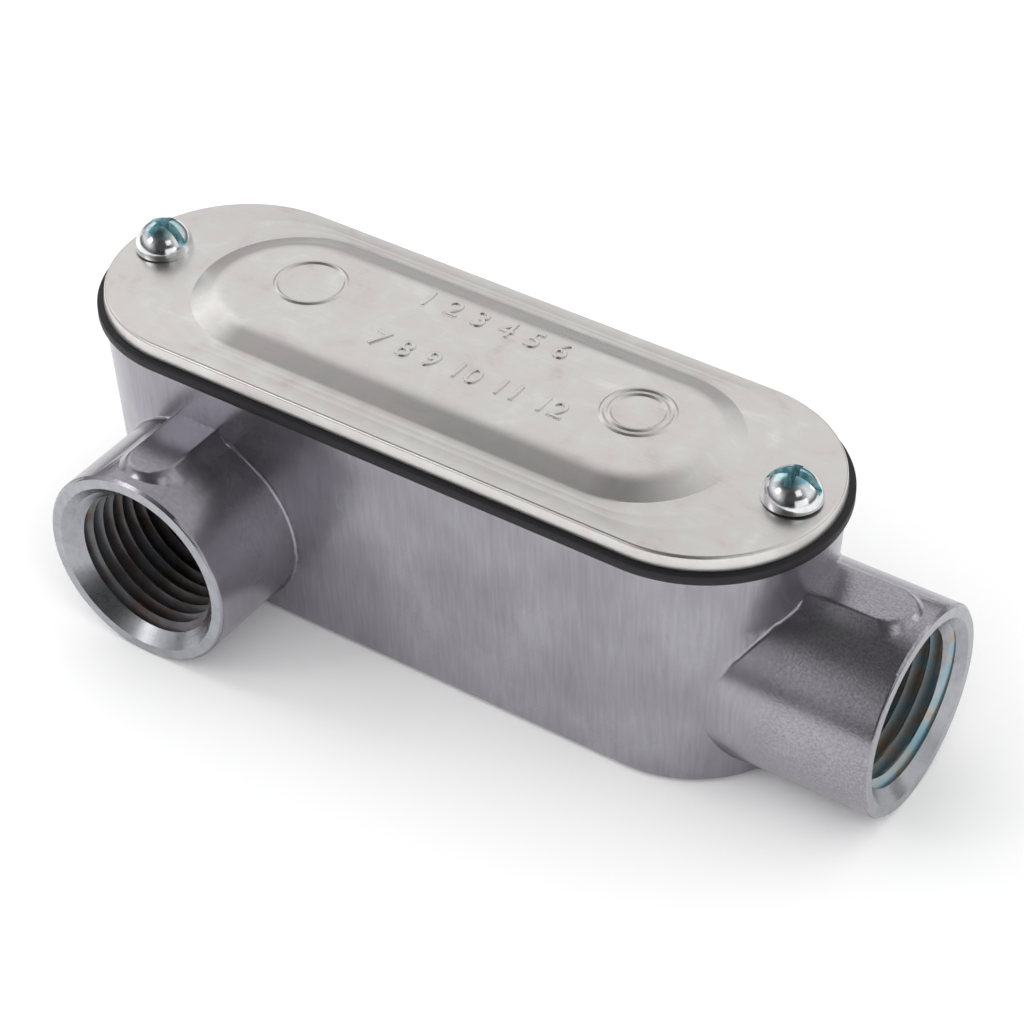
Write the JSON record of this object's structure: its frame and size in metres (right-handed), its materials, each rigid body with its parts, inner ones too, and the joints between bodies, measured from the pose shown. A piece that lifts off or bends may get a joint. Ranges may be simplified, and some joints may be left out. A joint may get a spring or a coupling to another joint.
{
  "type": "conduit body",
  "caption": "Left-hand L-shaped conduit body: an oval die-cast box with a threaded hub at one end, one on its side, and a screwed gasketed cover.",
  "frame": {"origin": "middle of the flat back, under the centre of the oval body", "axes": "+X runs along the oval body and out of the end hub, -Y points out of the side hub, +Z points out of the cover"},
  "size_m": [0.115, 0.0483, 0.0406],
  "materials": {
    "cast_aluminium": "smooth bare die casting, slightly glossy",
    "sheet_aluminium": "bright satin rolled sheet",
    "gasket_rubber": "matt black",
    "plated_steel": "bright zinc plating"
  },
  "bodies": {
    "root": {"housing": "cast_aluminium", "gasket": "gasket_rubber", "cover": "sheet_aluminium", "cover_screw_left": "plated_steel", "cover_screw_right": "plated_steel"}
  },
  "joints": []
}
